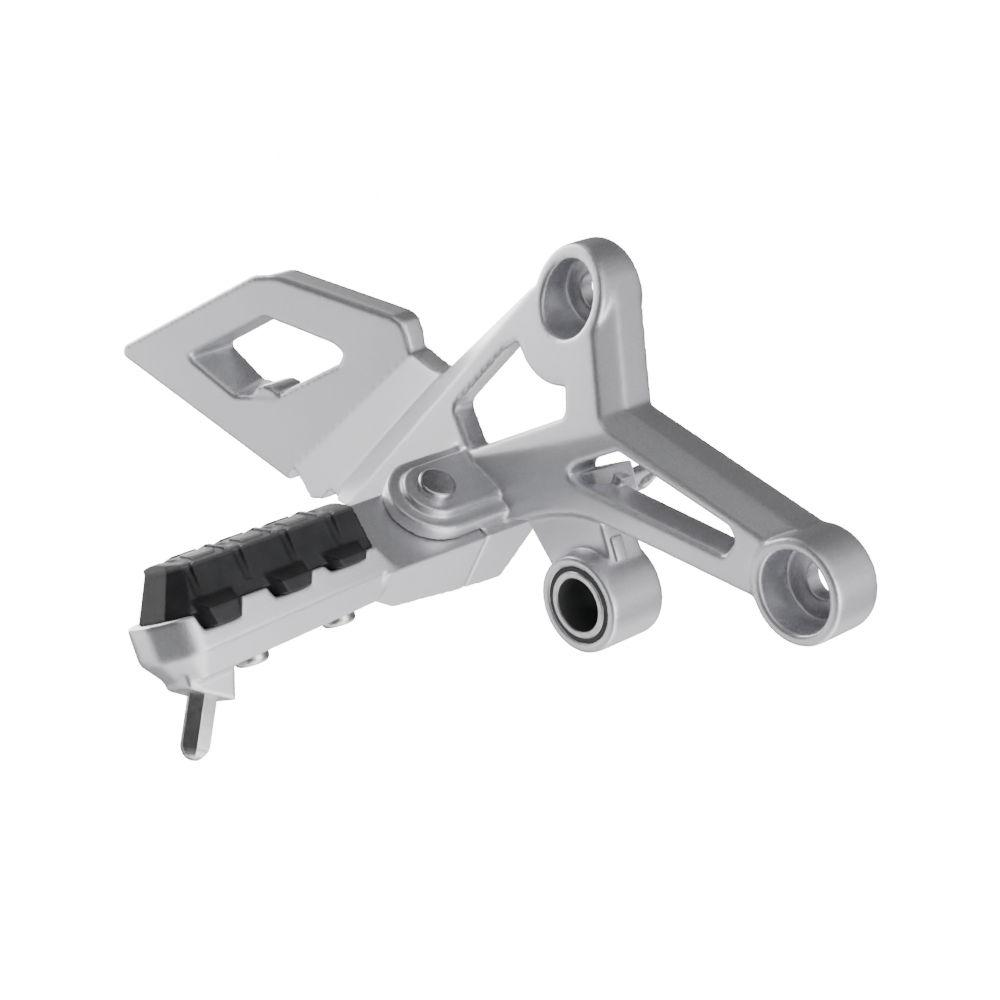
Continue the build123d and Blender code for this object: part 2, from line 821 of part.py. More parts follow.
with BuildPart() as carrier:
    add(tray.part)
    with BuildSketch(hinge_plane.offset(tongue_bottom)):
        with BuildLine():
            heel_flat = Polyline(
                (-tongue_heel_radius, 0),
                (-tongue_heel_radius, tongue_end_v),
                (tongue_front_u, tongue_end_v),
                (tongue_front_u, wall_v - hinge_gap),
                (0, wall_v - hinge_gap),
            )
            ThreePointArc(
                heel_flat @ 1,
                (
                    -(tongue_heel_radius + 0.03) * cos(radians(45)),
                    (tongue_heel_radius + 0.03) * sin(radians(45)),
                ),
                heel_flat @ 0,
            )
        make_face()
    extrude(amount=tongue_thickness)
    # Bevel below the outer end of the tongue
    with BuildSketch(hinge_side.offset(tongue_front_u)):
        with BuildLine():
            Polyline(
                (tongue_end_v - 1, -20.7),
                (tongue_end_v, -20.7),
                (-21.5, tongue_bottom),
                (-21.5, tongue_bottom - 1),
                (tongue_end_v - 1, tongue_bottom - 1),
                close=True,
            )
        make_face()
    extrude(amount=-(tongue_front_u + tongue_heel_radius + 1), mode=Mode.SUBTRACT)
    # Skirt that hides the lower ear from the front
    with BuildSketch(hinge_side.offset(tongue_front_u)):
        with BuildLine():
            Polyline(
                (-21.5, tongue_bottom),
                (-15.0, tongue_bottom + 2),
                (wall_v - hinge_gap, tongue_bottom + 2),
                (wall_v - hinge_gap, skirt_bottom_p),
                close=True,
            )
        make_face()
    extrude(amount=-(tongue_front_u - skirt_inner_u))
    # Boss for the banking feeler
    with BuildSketch(Plane.YZ.offset(peg_centre_x - 6.5)):
        with BuildLine():
            Polyline(
                (feeler_y - 7.1, side_bottom_z - 5.5),
                (feeler_y - 7.1, feeler_z + 4.1),
                (feeler_y + 6.4, feeler_z - 3.6),
                (feeler_y + 9.2, feeler_z + 4.5),
                (feeler_y + 9.2, side_bottom_z - 5.5),
                close=True,
            )
        make_face()
    extrude(amount=13)
    # Pocket for the pad, notches for its lugs
    with BuildSketch(Plane((peg_centre_x, middle_y, pocket_floor_z))):
        with BuildLine():
            Polyline(*inner_plan, close=True)
        make_face()
    extrude(amount=30, mode=Mode.SUBTRACT)
    for lug_at, lug_bottom in zip(lug_ys, lug_bottom_zs):
        with BuildSketch(Plane.YZ.offset(rear_x - 1)):
            with BuildLine():
                Polyline(
                    (lug_at - 8.9, rim_z + 1),
                    (lug_at + 8.9, rim_z + 1),
                    (lug_at + 6.4, lug_bottom - pad_fit),
                    (lug_at - 6.4, lug_bottom - pad_fit),
                    close=True,
                )
            make_face()
        extrude(amount=2 * peg_half_width + 2, mode=Mode.SUBTRACT)
    for screw_y in screw_ys:
        with Locations((peg_centre_x, screw_y, pocket_floor_z)):
            Cylinder(screw_radius + screw_play, 30, mode=Mode.SUBTRACT)
        with BuildSketch(Plane.XY.offset(seat_z(screw_y))):
            with Locations((peg_centre_x, screw_y)):
                Circle(screw_washer_radius + 0.3)
        extrude(amount=-6, mode=Mode.SUBTRACT)
    with Locations(feeler_plane):
        Cylinder(
            feeler_shank_radius,
            feeler_shank_length + 0.5,
            align=(Align.CENTER, Align.CENTER, Align.MAX),
            mode=Mode.SUBTRACT,
        )
    with Locations(hinge_plane):
        Cylinder(pin_radius + pin_play, pin_bore_length, mode=Mode.SUBTRACT)
    with BuildSketch(hinge_plane.offset(tongue_bottom)):
        Circle(spring_pocket_radius)
    extrude(amount=spring_pocket_depth, mode=Mode.SUBTRACT)
    with BuildSketch(hinge_plane.offset(tongue_bottom)):
        with Locations((spring_radius, 0)):
            Circle(spring_wire + 0.4)
    extrude(amount=spring_pocket_depth + spring_leg + 0.6, mode=Mode.SUBTRACT)
carrier.part.label = "peg_carrier"
export_step(carrier.part, "parts/peg_carrier.step")

# Rubber pad with its crowned tread, grooves, frames and overhanging lugs
with BuildPart() as crown:
    with BuildSketch(outward(pad_top_root_y)):
        with BuildLine():
            ThreePointArc(
                (peg_centre_x - pad_top_half, pad_side_z),
                (peg_centre_x, pad_crown_z),
                (peg_centre_x + pad_top_half, pad_side_z),
            )
            Line(
                (peg_centre_x + pad_top_half, pad_side_z),
                (peg_centre_x - pad_top_half, pad_side_z),
            )
        make_face()
    extrude(amount=pad_top_root_y - pad_top_tip_y)
    with BuildSketch(Plane.XY.offset(pad_side_z - 1)):
        with BuildLine():
            Polyline(*pad_outline(pad_top_half + 0.01, pad_top_root_y, pad_top_tip_y, 4.0), close=True)
        make_face()
    extrude(amount=6, mode=Mode.INTERSECT)

with BuildPart() as pad:
    with BuildSketch(Plane((peg_centre_x, middle_y, pocket_floor_z + 0.1))):
        with BuildLine():
            Polyline(*inner_plan, close=True)
        make_face()
        offset(amount=-pad_fit)
    extrude(amount=rim_z - pocket_floor_z - 0.1)
    with BuildSketch(Plane.XY.offset(rim_z)):
        with BuildLine():
            Polyline(*pad_outline(pad_base_half, pad_root_y, pad_tip_y, 5.5), close=True)
        make_face()
    with BuildSketch(Plane.XY.offset(pad_side_z)):
        with BuildLine():
            Polyline(*pad_outline(pad_top_half, pad_top_root_y, pad_top_tip_y, 4.0), close=True)
        make_face()
    loft(ruled=True)
    add(crown.part)
    # Cross grooves in the crown and shallow grooves down both sides
    for groove_y in groove_ys:
        with BuildSketch(Plane.XY.offset(pad_crown_z - groove_depth)):
            with Locations((peg_centre_x, groove_y)):
                Rectangle(40, groove_width)
        extrude(amount=10, mode=Mode.SUBTRACT)
        for side in (-1, 1):
            with BuildSketch(outward(groove_y + groove_width / 2)):
                with BuildLine():
                    Polyline(
                        (peg_centre_x + side * (pad_top_half - 0.9), pad_crown_z),
                        (peg_centre_x + side * (pad_top_half - 0.9), pad_side_z - 1.6),
                        (peg_centre_x + side * (pad_base_half - 0.9), rim_z + 3.5),
                        (peg_centre_x + side * (pad_base_half + 4), rim_z + 3.5),
                        (peg_centre_x + side * (pad_base_half + 4), pad_crown_z),
                        close=True,
                    )
                make_face()
            extrude(amount=groove_width, mode=Mode.SUBTRACT)
    # Narrow frame lines on the blocks between the grooves
    for low_y, high_y in zip(groove_ys, groove_ys[1:]):
        frame_length = high_y - low_y - groove_width - frame_margin
        with BuildSketch(Plane.XY.offset(pad_crown_z - frame_depth)):
            with Locations((peg_centre_x, (low_y + high_y) / 2)):
                Rectangle(frame_width, frame_length)
                Rectangle(
                    frame_width - 2 * frame_line,
                    frame_length - 2 * frame_line,
                    mode=Mode.SUBTRACT,
                )
        extrude(amount=6, mode=Mode.SUBTRACT)
    for lug_at, lug_bottom in zip(lug_ys, lug_bottom_zs):
        for side in (-1, 1):
            with BuildSketch(Plane.YZ.offset(peg_centre_x + side * (inner_half_width - 1.5))):
                with BuildLine():
                    Polyline(
                        (lug_at - 8.0, lug_top_z),
                        (lug_at + 8.0, lug_top_z),
                        (lug_at + 6.1, lug_bottom),
                        (lug_at - 6.1, lug_bottom),
                        close=True,
                    )
                make_face()
            with BuildSketch(Plane.YZ.offset(peg_centre_x + side * lug_reach)):
                with BuildLine():
                    Polyline(
                        (lug_at - 5.0, lug_top_z - 4.0),
                        (lug_at + 5.6, lug_top_z - 4.0),
                        (lug_at + 5.0, lug_bottom),
                        (lug_at - 3.6, lug_bottom),
                        close=True,
                    )
                make_face()
            loft(ruled=True)
    # Slot for the moulded-in steel plate and the screws' holes
    with BuildSketch(Plane.XY.offset(insert_z - insert_thickness)):
        with Locations((peg_centre_x, insert_middle_y)):
            Rectangle(insert_width, insert_length)
    extrude(amount=insert_thickness, mode=Mode.SUBTRACT)
    for screw_y in screw_ys:
        with BuildSketch(Plane.XY.offset(pocket_floor_z)):
            with Locations((peg_centre_x, screw_y)):
                Circle(screw_radius + screw_play)
        extrude(amount=insert_z - pocket_floor_z + screw_tip, mode=Mode.SUBTRACT)
pad.part.label = "rubber_pad"
export_step(pad.part, "parts/rubber_pad.step")

# Steel plate moulded in the pad, threaded for both screws
with BuildPart() as insert:
    with BuildSketch(Plane.XY.offset(insert_z - insert_thickness)):
        with Locations((peg_centre_x, insert_middle_y)):
            Rectangle(insert_width, insert_length)
        with Locations(*[(peg_centre_x, screw_y) for screw_y in screw_ys]):
            Circle(screw_radius, mode=Mode.SUBTRACT)
    extrude(amount=insert_thickness)
insert.part.label = "pad_insert"
export_step(insert.part, "parts/pad_insert.step")

# Pad screws with button heads, each on a flat washer
for place, screw_y in zip(("outer", "inner"), screw_ys):
    with BuildPart() as pad_screw:
        with BuildSketch(Plane.XY.offset(insert_z + screw_tip - 0.4)):
            with Locations((peg_centre_x, screw_y)):
                Circle(screw_radius)
        extrude(amount=seat_z(screw_y) - screw_washer_thickness - insert_z - screw_tip + 0.4)
        with BuildSketch(Plane.XY.offset(seat_z(screw_y) - screw_washer_thickness)):
            with Locations((peg_centre_x, screw_y)):
                Circle(screw_head_radius)
        extrude(amount=-screw_head_height)
        fillet(pad_screw.faces().sort_by(Axis.Z)[0].edges(), radius=1.9)
        with BuildSketch(Plane.XY.offset(seat_z(screw_y) - screw_washer_thickness - screw_head_height)):
            with Locations((peg_centre_x, screw_y)):
                RegularPolygon(screw_socket / 2, 6, major_radius=False)
        extrude(amount=1.8, mode=Mode.SUBTRACT)
    pad_screw.part.label = "pad_screw_" + place
    export_step(pad_screw.part, "parts/pad_screw_" + place + ".step")
    with BuildPart() as screw_washer:
        with BuildSketch(Plane.XY.offset(seat_z(screw_y))):
            with Locations((peg_centre_x, screw_y)):
                Circle(screw_washer_radius)
                Circle(screw_radius + 0.15, mode=Mode.SUBTRACT)
        extrude(amount=-screw_washer_thickness)
    screw_washer.part.label = "screw_washer_" + place
    export_step(screw_washer.part, "parts/screw_washer_" + place + ".step")

# Hexagonal banking feeler with a rounded tip
with BuildPart() as feeler:
    with BuildSketch(feeler_plane):
        RegularPolygon(feeler_across / 2, 6, major_radius=False)
    extrude(amount=feeler_length)
    with BuildSketch(Plane(origin=feeler_plane.origin, x_dir=(1, 0, 0), z_dir=feeler_side)):
        with BuildLine():
            tip_line = Polyline(
                (0, feeler_length),
                (0, -1),
                (feeler_across, -1),
                (feeler_across, feeler_length - 4.2),
                (feeler_across / 2 + 0.7, feeler_length - 4.2),
            )
            ThreePointArc(
                tip_line @ 1,
                ((feeler_across / 2 + 0.7) * 0.72, feeler_length - 1.25),
                tip_line @ 0,
            )
        make_face()
    revolve(axis=Axis(feeler_plane.origin, feeler_dir), mode=Mode.INTERSECT)
    with BuildSketch(feeler_plane):
        Circle(feeler_shank_radius)
    extrude(amount=-feeler_shank_length)
feeler.part.label = "banking_feeler"
export_step(feeler.part, "parts/banking_feeler.step")
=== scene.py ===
"""Right-hand motorcycle footpeg on its cast bracket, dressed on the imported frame."""

import logging
import math
from collections.abc import Callable
from dataclasses import dataclass, field
from enum import Enum
from typing import Protocol

import bmesh
import bpy
from mathutils import Matrix, Vector


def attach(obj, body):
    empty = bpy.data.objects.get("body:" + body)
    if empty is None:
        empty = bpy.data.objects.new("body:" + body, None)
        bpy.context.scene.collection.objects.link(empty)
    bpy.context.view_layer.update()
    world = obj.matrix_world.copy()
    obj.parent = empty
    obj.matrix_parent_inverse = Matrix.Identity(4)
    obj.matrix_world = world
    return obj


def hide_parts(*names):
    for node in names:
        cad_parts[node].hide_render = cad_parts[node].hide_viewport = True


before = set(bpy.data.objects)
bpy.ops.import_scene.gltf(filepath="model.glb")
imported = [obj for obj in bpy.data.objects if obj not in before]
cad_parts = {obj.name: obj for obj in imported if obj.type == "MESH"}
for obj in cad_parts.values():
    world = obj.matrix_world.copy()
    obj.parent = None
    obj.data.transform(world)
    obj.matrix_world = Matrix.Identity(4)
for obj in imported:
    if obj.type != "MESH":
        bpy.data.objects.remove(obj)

logging.basicConfig(level=logging.INFO, format="%(message)s")
log = logging.getLogger("footpeg")

MM = 0.001
NARROW_BAND = (0.35, 0.65)
WIDE_BAND = (0.3, 0.7)

Colour = tuple[float, float, float, float]
Place = tuple[float, float, float]
Outline = tuple[tuple[float, float], ...]
Feed = bpy.types.NodeSocket | Colour | float


class Socket(Enum):
    """Principled BSDF inputs that the finishes drive."""

    COLOUR = "Base Color"
    ROUGHNESS = "Roughness"
    METAL = "Metallic"
    NORMAL = "Normal"
    SHINE = "Specular IOR Level"
    GLOW_COLOUR = "Emission Color"
    GLOW = "Emission Strength"


class Slot(Enum):
    """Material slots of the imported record."""

    CAST = "cast_silver"
    RUBBER = "rubber"
    PIN = "pin_steel"
    SLEEVE = "sleeve_steel"
    SPRING = "spring_steel"
    HARDWARE = "hardware"


class Body(Enum):
    """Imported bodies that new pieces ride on."""

    BRACKET = "bracket"
    PEG = "peg"


@dataclass(frozen=True)
class Axis:
    """The middle line of a bore, pin or screw."""

    centre: Place
    direction: Place

    def away(self, point: Vector) -> Vector:
        """Offset of a point, square to the line.

        Args:
            point: Any point.

        Returns:
            The shortest vector from the line to the point.
        """
        out = point - Vector(self.centre)
        along = Vector(self.direction).normalized()
        return out - along * out.dot(along)


@dataclass(frozen=True)
class Turning:
    """A machined bore or round face.

    The lip is how far outside its radius a softened mesh is still pressed onto it.
    """

    axis: Axis
    radius: float
    lip: float = 0.0


ACROSS = (0.0, 1.0, 0.0)
UPRIGHT = (0.0, 0.0, 1.0)
UPPER_BOLT = Axis((0.0, 0.0, 0.0), ACROSS)
FRONT_BOLT = Axis((72.0 * MM, 0.0, -94.0 * MM), ACROSS)
PIVOT = Axis((-11.2 * MM, 0.0, -88.9 * MM), ACROSS)
HINGE = Axis((-42.2 * MM, -51.5 * MM, -43.9 * MM), (0.775, 0.0, 0.632))
OUTER_SCREW = Axis((-52.0 * MM, -126.7 * MM, 0.0), UPRIGHT)
INNER_SCREW = Axis((-52.0 * MM, -93.3 * MM, 0.0), UPRIGHT)
PIN_BORE = Turning(HINGE, 4.1 * MM)


class NodePaint:
    """Small builder for one procedural material's node tree."""

    COLOUR_A = 6
    COLOUR_B = 7
    COLOUR_OUT = 2
    BEVEL_SAMPLES = 6

    def __init__(self, name: str) -> None:
        """Start a material with a Principled BSDF.

        Args:
            name: The material's name.
        """
        self.material = bpy.data.materials.new(name)
        self.material.use_nodes = True
        self.tree = self.material.node_tree
        self.bsdf = self.tree.nodes["Principled BSDF"]
        self.coords = self.tree.nodes.new("ShaderNodeTexCoord").outputs["Object"]

    def link(self, source: bpy.types.NodeSocket, target: bpy.types.NodeSocket) -> None:
        """Join two sockets."""
        self.tree.links.new(source, target)

    def feed(self, value: Feed, target: bpy.types.NodeSocket) -> None:
        """Give a socket a constant or a link.

        Args:
            value: A number, a colour or an output socket.
            target: The input socket.
        """
        if isinstance(value, bpy.types.NodeSocket):
            self.link(value, target)
        else:
            target.default_value = value

    def set(self, socket: Socket, value: Feed) -> None:
        """Drive one Principled input."""
        self.feed(value, self.bsdf.inputs[socket.value])

    def math(self, operation: str, a: Feed, b: Feed = 0.0) -> bpy.types.NodeSocket:
        """Add a Math node.

        Args:
            operation: The Math node's operation.
            a: First value or socket.
            b: Second value or socket.

        Returns:
            The node's output.
        """
        node = self.tree.nodes.new("ShaderNodeMath")
        node.operation = operation
        self.feed(a, node.inputs[0])
        self.feed(b, node.inputs[1])
        return node.outputs[0]

    def vector(self, operation: str, a: bpy.types.NodeSocket, b: Vector) -> bpy.types.Node:
        """Add a Vector Math node.

        Args:
            operation: The node's operation.
            a: First vector.
            b: Second vector, a constant.

        Returns:
            The node.
        """
        node = self.tree.nodes.new("ShaderNodeVectorMath")
        node.operation = operation
        self.link(a, node.inputs[0])
        node.inputs[1].default_value = b
        return node

    def noise(self, per_metre: float, detail: float = 3.0) -> bpy.types.NodeSocket:
        """Add noise on the object's own coordinates.

        Args:
            per_metre: Scale of the noise.
            detail: Number of octaves.

        Returns:
            The noise value, 0 to 1.
        """
        node = self.tree.nodes.new("ShaderNodeTexNoise")
        node.inputs["Scale"].default_value = per_metre
        node.inputs["Detail"].default_value = detail
        self.link(self.coords, node.inputs["Vector"])
        return node.outputs["Fac"]

    def spread(
        self, value: bpy.types.NodeSocket, low: float, high: float, to_low: float = 0.0, to_high: float = 1.0
    ) -> bpy.types.NodeSocket:
        """Map a range of values to another.

        Args:
            value: The value to map.
            low: Lower end of the incoming range.
            high: Upper end of the incoming range.
            to_low: Result at the lower end.
            to_high: Result at the upper end.

        Returns:
            The mapped value, clamped.
        """
        node = self.tree.nodes.new("ShaderNodeMapRange")
        self.link(value, node.inputs["Value"])
        node.inputs["From Min"].default_value = low
        node.inputs["From Max"].default_value = high
        node.inputs["To Min"].default_value = to_low
        node.inputs["To Max"].default_value = to_high
        return node.outputs["Result"]

    def mix(self, factor: Feed, a: Feed, b: Feed) -> bpy.types.NodeSocket:
        """Mix two colours.

        Args:
            factor: Weight of the second colour.
            a: First colour.
            b: Second colour.

        Returns:
            The mixed colour.
        """
        node = self.tree.nodes.new("ShaderNodeMix")
        node.data_type = "RGBA"
        self.feed(factor, node.inputs[0])
        self.feed(a, node.inputs[self.COLOUR_A])
        self.feed(b, node.inputs[self.COLOUR_B])
        return node.outputs[self.COLOUR_OUT]

    def rounded_edges(self, radius: float) -> bpy.types.NodeSocket:
        """Round the shading at sharp edges.

        Args:
            radius: Rounding radius in metres.

        Returns:
            The rounded normal.
        """
        bevel = self.tree.nodes.new("ShaderNodeBevel")
        bevel.samples = self.BEVEL_SAMPLES
        bevel.inputs["Radius"].default_value = radius
        return bevel.outputs["Normal"]

    def bump(
        self,
        height: bpy.types.NodeSocket,
        distance: float,
        strength: float,
        normal: bpy.types.NodeSocket | None = None,
    ) -> bpy.types.NodeSocket:
        """Add a bump to a normal.

        Args:
            height: Height value.
            distance: Depth of the relief in metres.
            strength: Strength of the bump.
            normal: Normal that the bump stands on.

        Returns:
            The bumped normal.
        """
        node = self.tree.nodes.new("ShaderNodeBump")
        node.inputs["Distance"].default_value = distance
        node.inputs["Strength"].default_value = strength
        self.link(height, node.inputs["Height"])
        if normal is not None:
            self.link(normal, node.inputs["Normal"])
        return node.outputs["Normal"]

    def height(self) -> bpy.types.NodeSocket:
        """Read the height of each point.

        Returns:
            The height in metres.
        """
        split = self.tree.nodes.new("ShaderNodeSeparateXYZ")
        self.link(self.coords, split.inputs[0])
        return split.outputs["Z"]

    def ring_distance(self, axis: Axis) -> bpy.types.NodeSocket:
        """Distance of each point from an axis.

        Args:
            axis: The axis that the rings turn about.

        Returns:
            The distance in metres.
        """
        shift = self.vector("SUBTRACT", self.coords, Vector(axis.centre))
        cross = self.vector("CROSS_PRODUCT", shift.outputs[0], Vector(axis.direction).normalized())
        length = self.tree.nodes.new("ShaderNodeVectorMath")
        length.operation = "LENGTH"
        self.link(cross.outputs[0], length.inputs[0])
        return length.outputs["Value"]

    def ring_wave(self, distance: bpy.types.NodeSocket, waves: float) -> bpy.types.NodeSocket:
        """Fine rings that a lathe leaves.

        Args:
            distance: Distance from the axis.
            waves: Radians of the wave in a metre.

        Returns:
            The wave, -1 to 1.
        """
        return self.math("SINE", self.math("MULTIPLY", distance, waves))


class Finish(Protocol):
    """A surface finish with a name."""

    name: str

    def build(self) -> bpy.types.Material:
        """Make the material.

        Returns:
            The material.
        """


@dataclass(frozen=True)
class SatinSilver:
    """Silver paint with a fine metal grain, and turned rings on the machined faces."""

    name: str = "satin silver paint"
    light: Colour = (0.66, 0.66, 0.69, 1.0)
    dark: Colour = (0.54, 0.54, 0.57, 1.0)
    metal: float = 0.8
    smooth: float = 0.30
    rough: float = 0.44
    grain_scale: float = 2600.0
    grain_share: float = 0.7
    grain_depth: float = 0.05 * MM
    grain_strength: float = 0.3
    cloud_scale: float = 45.0
    cloud_detail: float = 2.0
    turned: tuple[Turning, ...] = ()
    ring_waves: float = 9000.0
    ring_edge: float = 0.2 * MM
    ring_depth: float = 0.012 * MM
    ring_strength: float = 0.5

    def build(self) -> bpy.types.Material:
        """Make the material.

        Returns:
            The material.
        """
        paint = NodePaint(self.name)
        grain = paint.noise(self.grain_scale)
        cloud = paint.noise(self.cloud_scale, self.cloud_detail)
        fine = paint.spread(grain, *NARROW_BAND, 0.0, self.grain_share)
        broad = paint.spread(cloud, *WIDE_BAND, 0.0, 1.0 - self.grain_share)
        paint.set(Socket.COLOUR, paint.mix(paint.math("ADD", fine, broad), self.dark, self.light))
        paint.set(Socket.ROUGHNESS, paint.spread(grain, *WIDE_BAND, self.smooth, self.rough))
        paint.set(Socket.METAL, self.metal)
        normal = paint.bump(grain, self.grain_depth, self.grain_strength)
        if self.turned:
            normal = paint.bump(self.rings(paint), self.ring_depth, self.ring_strength, normal)
        paint.set(Socket.NORMAL, normal)
        return paint.material

    def rings(self, paint: NodePaint) -> bpy.types.NodeSocket:
        """Relief of the machined faces.

        Args:
            paint: The material's builder.

        Returns:
            The rings' height, 0 outside the faces.
        """
        height = None
        for face in self.turned:
            distance = paint.ring_distance(face.axis)
            inside = paint.spread(distance, face.radius, face.radius - self.ring_edge)
            wave = paint.math("MULTIPLY", paint.ring_wave(distance, self.ring_waves), inside)
            height = wave if height is None else paint.math("ADD", height, wave)
        return height


@dataclass(frozen=True)
class MouldedRubber:
    """Matt black rubber, dusty in places, and lighter grey at its crown as a painted highlight."""

    name: str = "moulded rubber"
    base: Colour = (0.014, 0.014, 0.0155, 1.0)
    dust_and_highlight: Colour = (0.026, 0.026, 0.029, 1.0)
    crown_highlight: Colour = (0.075, 0.075, 0.082, 1.0)
    highlight_from: float = 1.0
    highlight_depth: float = 1.6 * MM
    shine: float = 0.3
    rough: float = 0.5
    smoother: float = 0.08
    rougher: float = 0.1
    skin_scale: float = 3500.0
    skin_depth: float = 0.04 * MM
    skin_strength: float = 0.3
    cloud_scale: float = 120.0
    cloud_band: tuple[float, float] = (0.35, 0.7)

    def build(self) -> bpy.types.Material:
        """Make the material.

        Returns:
            The material.
        """
        paint = NodePaint(self.name)
        skin = paint.noise(self.skin_scale)
        cloud = paint.noise(self.cloud_scale)
        colour = paint.mix(paint.spread(cloud, *self.cloud_band), self.base, self.dust_and_highlight)
        # Painted highlight: the colour turns a lighter grey over the top of the crown.
        crown = paint.spread(paint.height(), self.highlight_from - self.highlight_depth, self.highlight_from)
        low, high = self.rough - self.smoother, self.rough + self.rougher
        paint.set(Socket.COLOUR, paint.mix(crown, colour, self.crown_highlight))
        paint.set(Socket.ROUGHNESS, paint.spread(skin, *WIDE_BAND, low, high))
        paint.set(Socket.SHINE, self.shine)
        paint.set(Socket.NORMAL, paint.bump(skin, self.skin_depth, self.skin_strength))
        return paint.material


@dataclass(frozen=True)
class TurnedSteel:
    """Steel with the fine rings that a lathe leaves, and painted shade inside a bore where it has one."""

    name: str
    axis: Axis
    tone: Colour = (0.50, 0.50, 0.52, 1.0)
    dull: Colour = (0.38, 0.38, 0.40, 1.0)
    smooth: float = 0.22
    rough: float = 0.36
    edge_radius: float = 0.3 * MM
    ring_waves: float = 16000.0
    ring_depth: float = 0.004 * MM
    ring_strength: float = 0.2
    speck_scale: float = 4000.0
    speck_detail: float = 2.0
    speck_depth: float = 0.003 * MM
    speck_strength: float = 0.15
    cloud_scale: float = 400.0
    bore_radius: float = 0.0
    bore_edge: float = 0.1 * MM
    bore_shade: Colour = (0.06, 0.06, 0.062, 1.0)
    bore_shine: float = 0.15

    def build(self) -> bpy.types.Material:
        """Make the material.

        Returns:
            The material.
        """
        paint = NodePaint(self.name)
        distance = paint.ring_distance(self.axis)
        cloud = paint.noise(self.cloud_scale)
        speck = paint.noise(self.speck_scale, self.speck_detail)
        normal = paint.rounded_edges(self.edge_radius)
        rings = paint.ring_wave(distance, self.ring_waves)
        normal = paint.bump(rings, self.ring_depth, self.ring_strength, normal)
        normal = paint.bump(speck, self.speck_depth, self.speck_strength, normal)
        colour = paint.mix(paint.spread(cloud, *NARROW_BAND), self.dull, self.tone)
        # Painted shade: inside the bore the colour turns near black and the metal goes dull.
        if self.bore_radius:
            bore = paint.spread(distance, self.bore_radius + self.bore_edge, self.bore_radius)
            colour = paint.mix(bore, colour, self.bore_shade)
            paint.set(Socket.METAL, paint.spread(bore, 0.0, 1.0, 1.0, 0.0))
            paint.set(Socket.SHINE, self.bore_shine)
        else:
            paint.set(Socket.METAL, 1.0)
        paint.set(Socket.COLOUR, colour)
        paint.set(Socket.ROUGHNESS, paint.spread(speck, *WIDE_BAND, self.smooth, self.rough))
        paint.set(Socket.NORMAL, normal)
        return paint.material


def add_piece(
    name: str, shape: bmesh.types.BMesh, material: bpy.types.Material, body: Body
) -> bpy.types.Object:
    """Turn a bmesh into a piece that rides on a body.

    Args:
        name: The piece's name.
        shape: The finished bmesh, which is freed.
        material: The piece's only material.
        body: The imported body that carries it.

    Returns:
        The new object.
    """
    bmesh.ops.recalc_face_normals(shape, faces=shape.faces)
    mesh = bpy.data.meshes.new(name)
    shape.to_mesh(mesh)
    shape.free()
    mesh.shade_smooth()
    mesh.materials.append(material)
    piece = bpy.data.objects.new(name, mesh)
    bpy.context.collection.objects.link(piece)
    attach(piece, body.value)
    log.info("%s: %d faces", name, len(mesh.polygons))
    return piece


def round_edges(shape: bmesh.types.BMesh, edges: list[bmesh.types.BMEdge], radius: float) -> None:
    """Bevel edges to a round.

    Args:
        shape: The bmesh.
        edges: Its edges to round.
        radius: Radius of the round.
    """
    bmesh.ops.bevel(shape, geom=edges, offset=radius, segments=3, profile=0.5, affect="EDGES", material=-1)


def add_block(shape: bmesh.types.BMesh, centre: Vector, size: Vector, turn: Matrix, radius: float) -> None:
    """Add a block with rounded edges to a bmesh.

    Args:
        shape: The bmesh.
        centre: The block's middle.
        size: Its lengths along its own axes.
        turn: Rotation of its axes.
        radius: Radius of its edges.
    """
    corners = bmesh.ops.create_cube(shape, size=1.0)["verts"]
    bmesh.ops.scale(shape, verts=corners, vec=size)
    bmesh.ops.transform(shape, verts=corners, matrix=Matrix.Translation(centre) @ turn.to_4x4())
    edges = dict.fromkeys(edge for corner in corners for edge in corner.link_edges)
    round_edges(shape, list(edges), radius)


def prism(front: list[Vector], back: list[Vector], radius: float) -> bmesh.types.BMesh:
    """Make a rounded prism between two outlines with as many corners.

    Args:
        front: Corners of one end.
        back: Corners of the other end.
        radius: Radius of its edges.

    Returns:
        The prism's bmesh.
    """
    shape = bmesh.new()
    near, far = ([shape.verts.new(corner) for corner in outline] for outline in (front, back))
    shape.faces.new(near)
    shape.faces.new(far)
    for step, corner in enumerate(near):
        after = (step + 1) % len(near)
        shape.faces.new((corner, near[after], far[after], far[step]))
    round_edges(shape, shape.edges[:], radius)
    return shape


